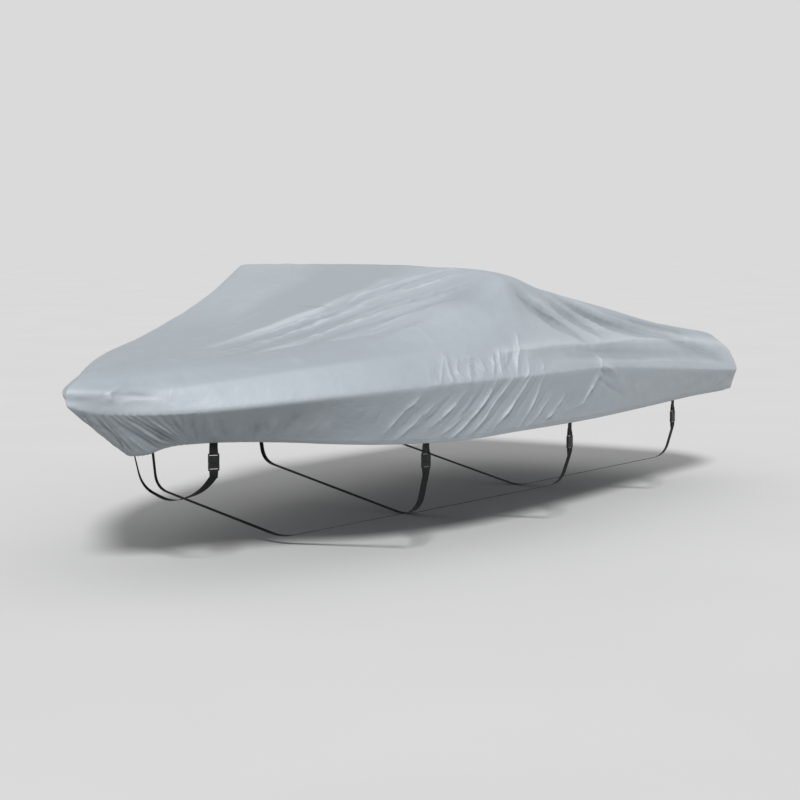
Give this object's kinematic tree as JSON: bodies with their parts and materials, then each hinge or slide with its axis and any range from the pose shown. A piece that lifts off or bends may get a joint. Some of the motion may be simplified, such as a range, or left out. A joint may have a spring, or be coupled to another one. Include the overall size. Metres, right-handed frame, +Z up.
{
  "type": "boat cover",
  "caption": "Fitted grey cloth cover for an open runabout, peaked over the windscreen, with gathered bow skirt, hem and black webbing straps that buckle at the side",
  "frame": {"origin": "underside of the cloth at the middle of the windscreen ridge, the highest place of the cover", "axes": "+X from bow to stern, +Y to starboard, +Z up; port, with the buckles, is -Y"},
  "size_m": [5.0295, 2.1109, 1.3259],
  "materials": {
    "cover_cloth": "coated woven polyester, grey, slight sheen",
    "webbing": "black woven webbing",
    "buckle_plastic": "moulded, satin"
  },
  "bodies": {
    "root": {"cover": "cover_cloth", "tab_bow": "webbing", "tab_fore": "webbing", "tab_middle": "webbing", "tab_aft": "webbing", "strap_bow": "webbing", "strap_fore": "webbing", "strap_middle": "webbing", "strap_aft": "webbing", "socket_bow": "buckle_plastic", "socket_fore": "buckle_plastic", "socket_middle": "buckle_plastic", "socket_aft": "buckle_plastic", "plug_bow": "buckle_plastic", "plug_fore": "buckle_plastic", "plug_middle": "buckle_plastic", "plug_aft": "buckle_plastic"}
  },
  "joints": []
}
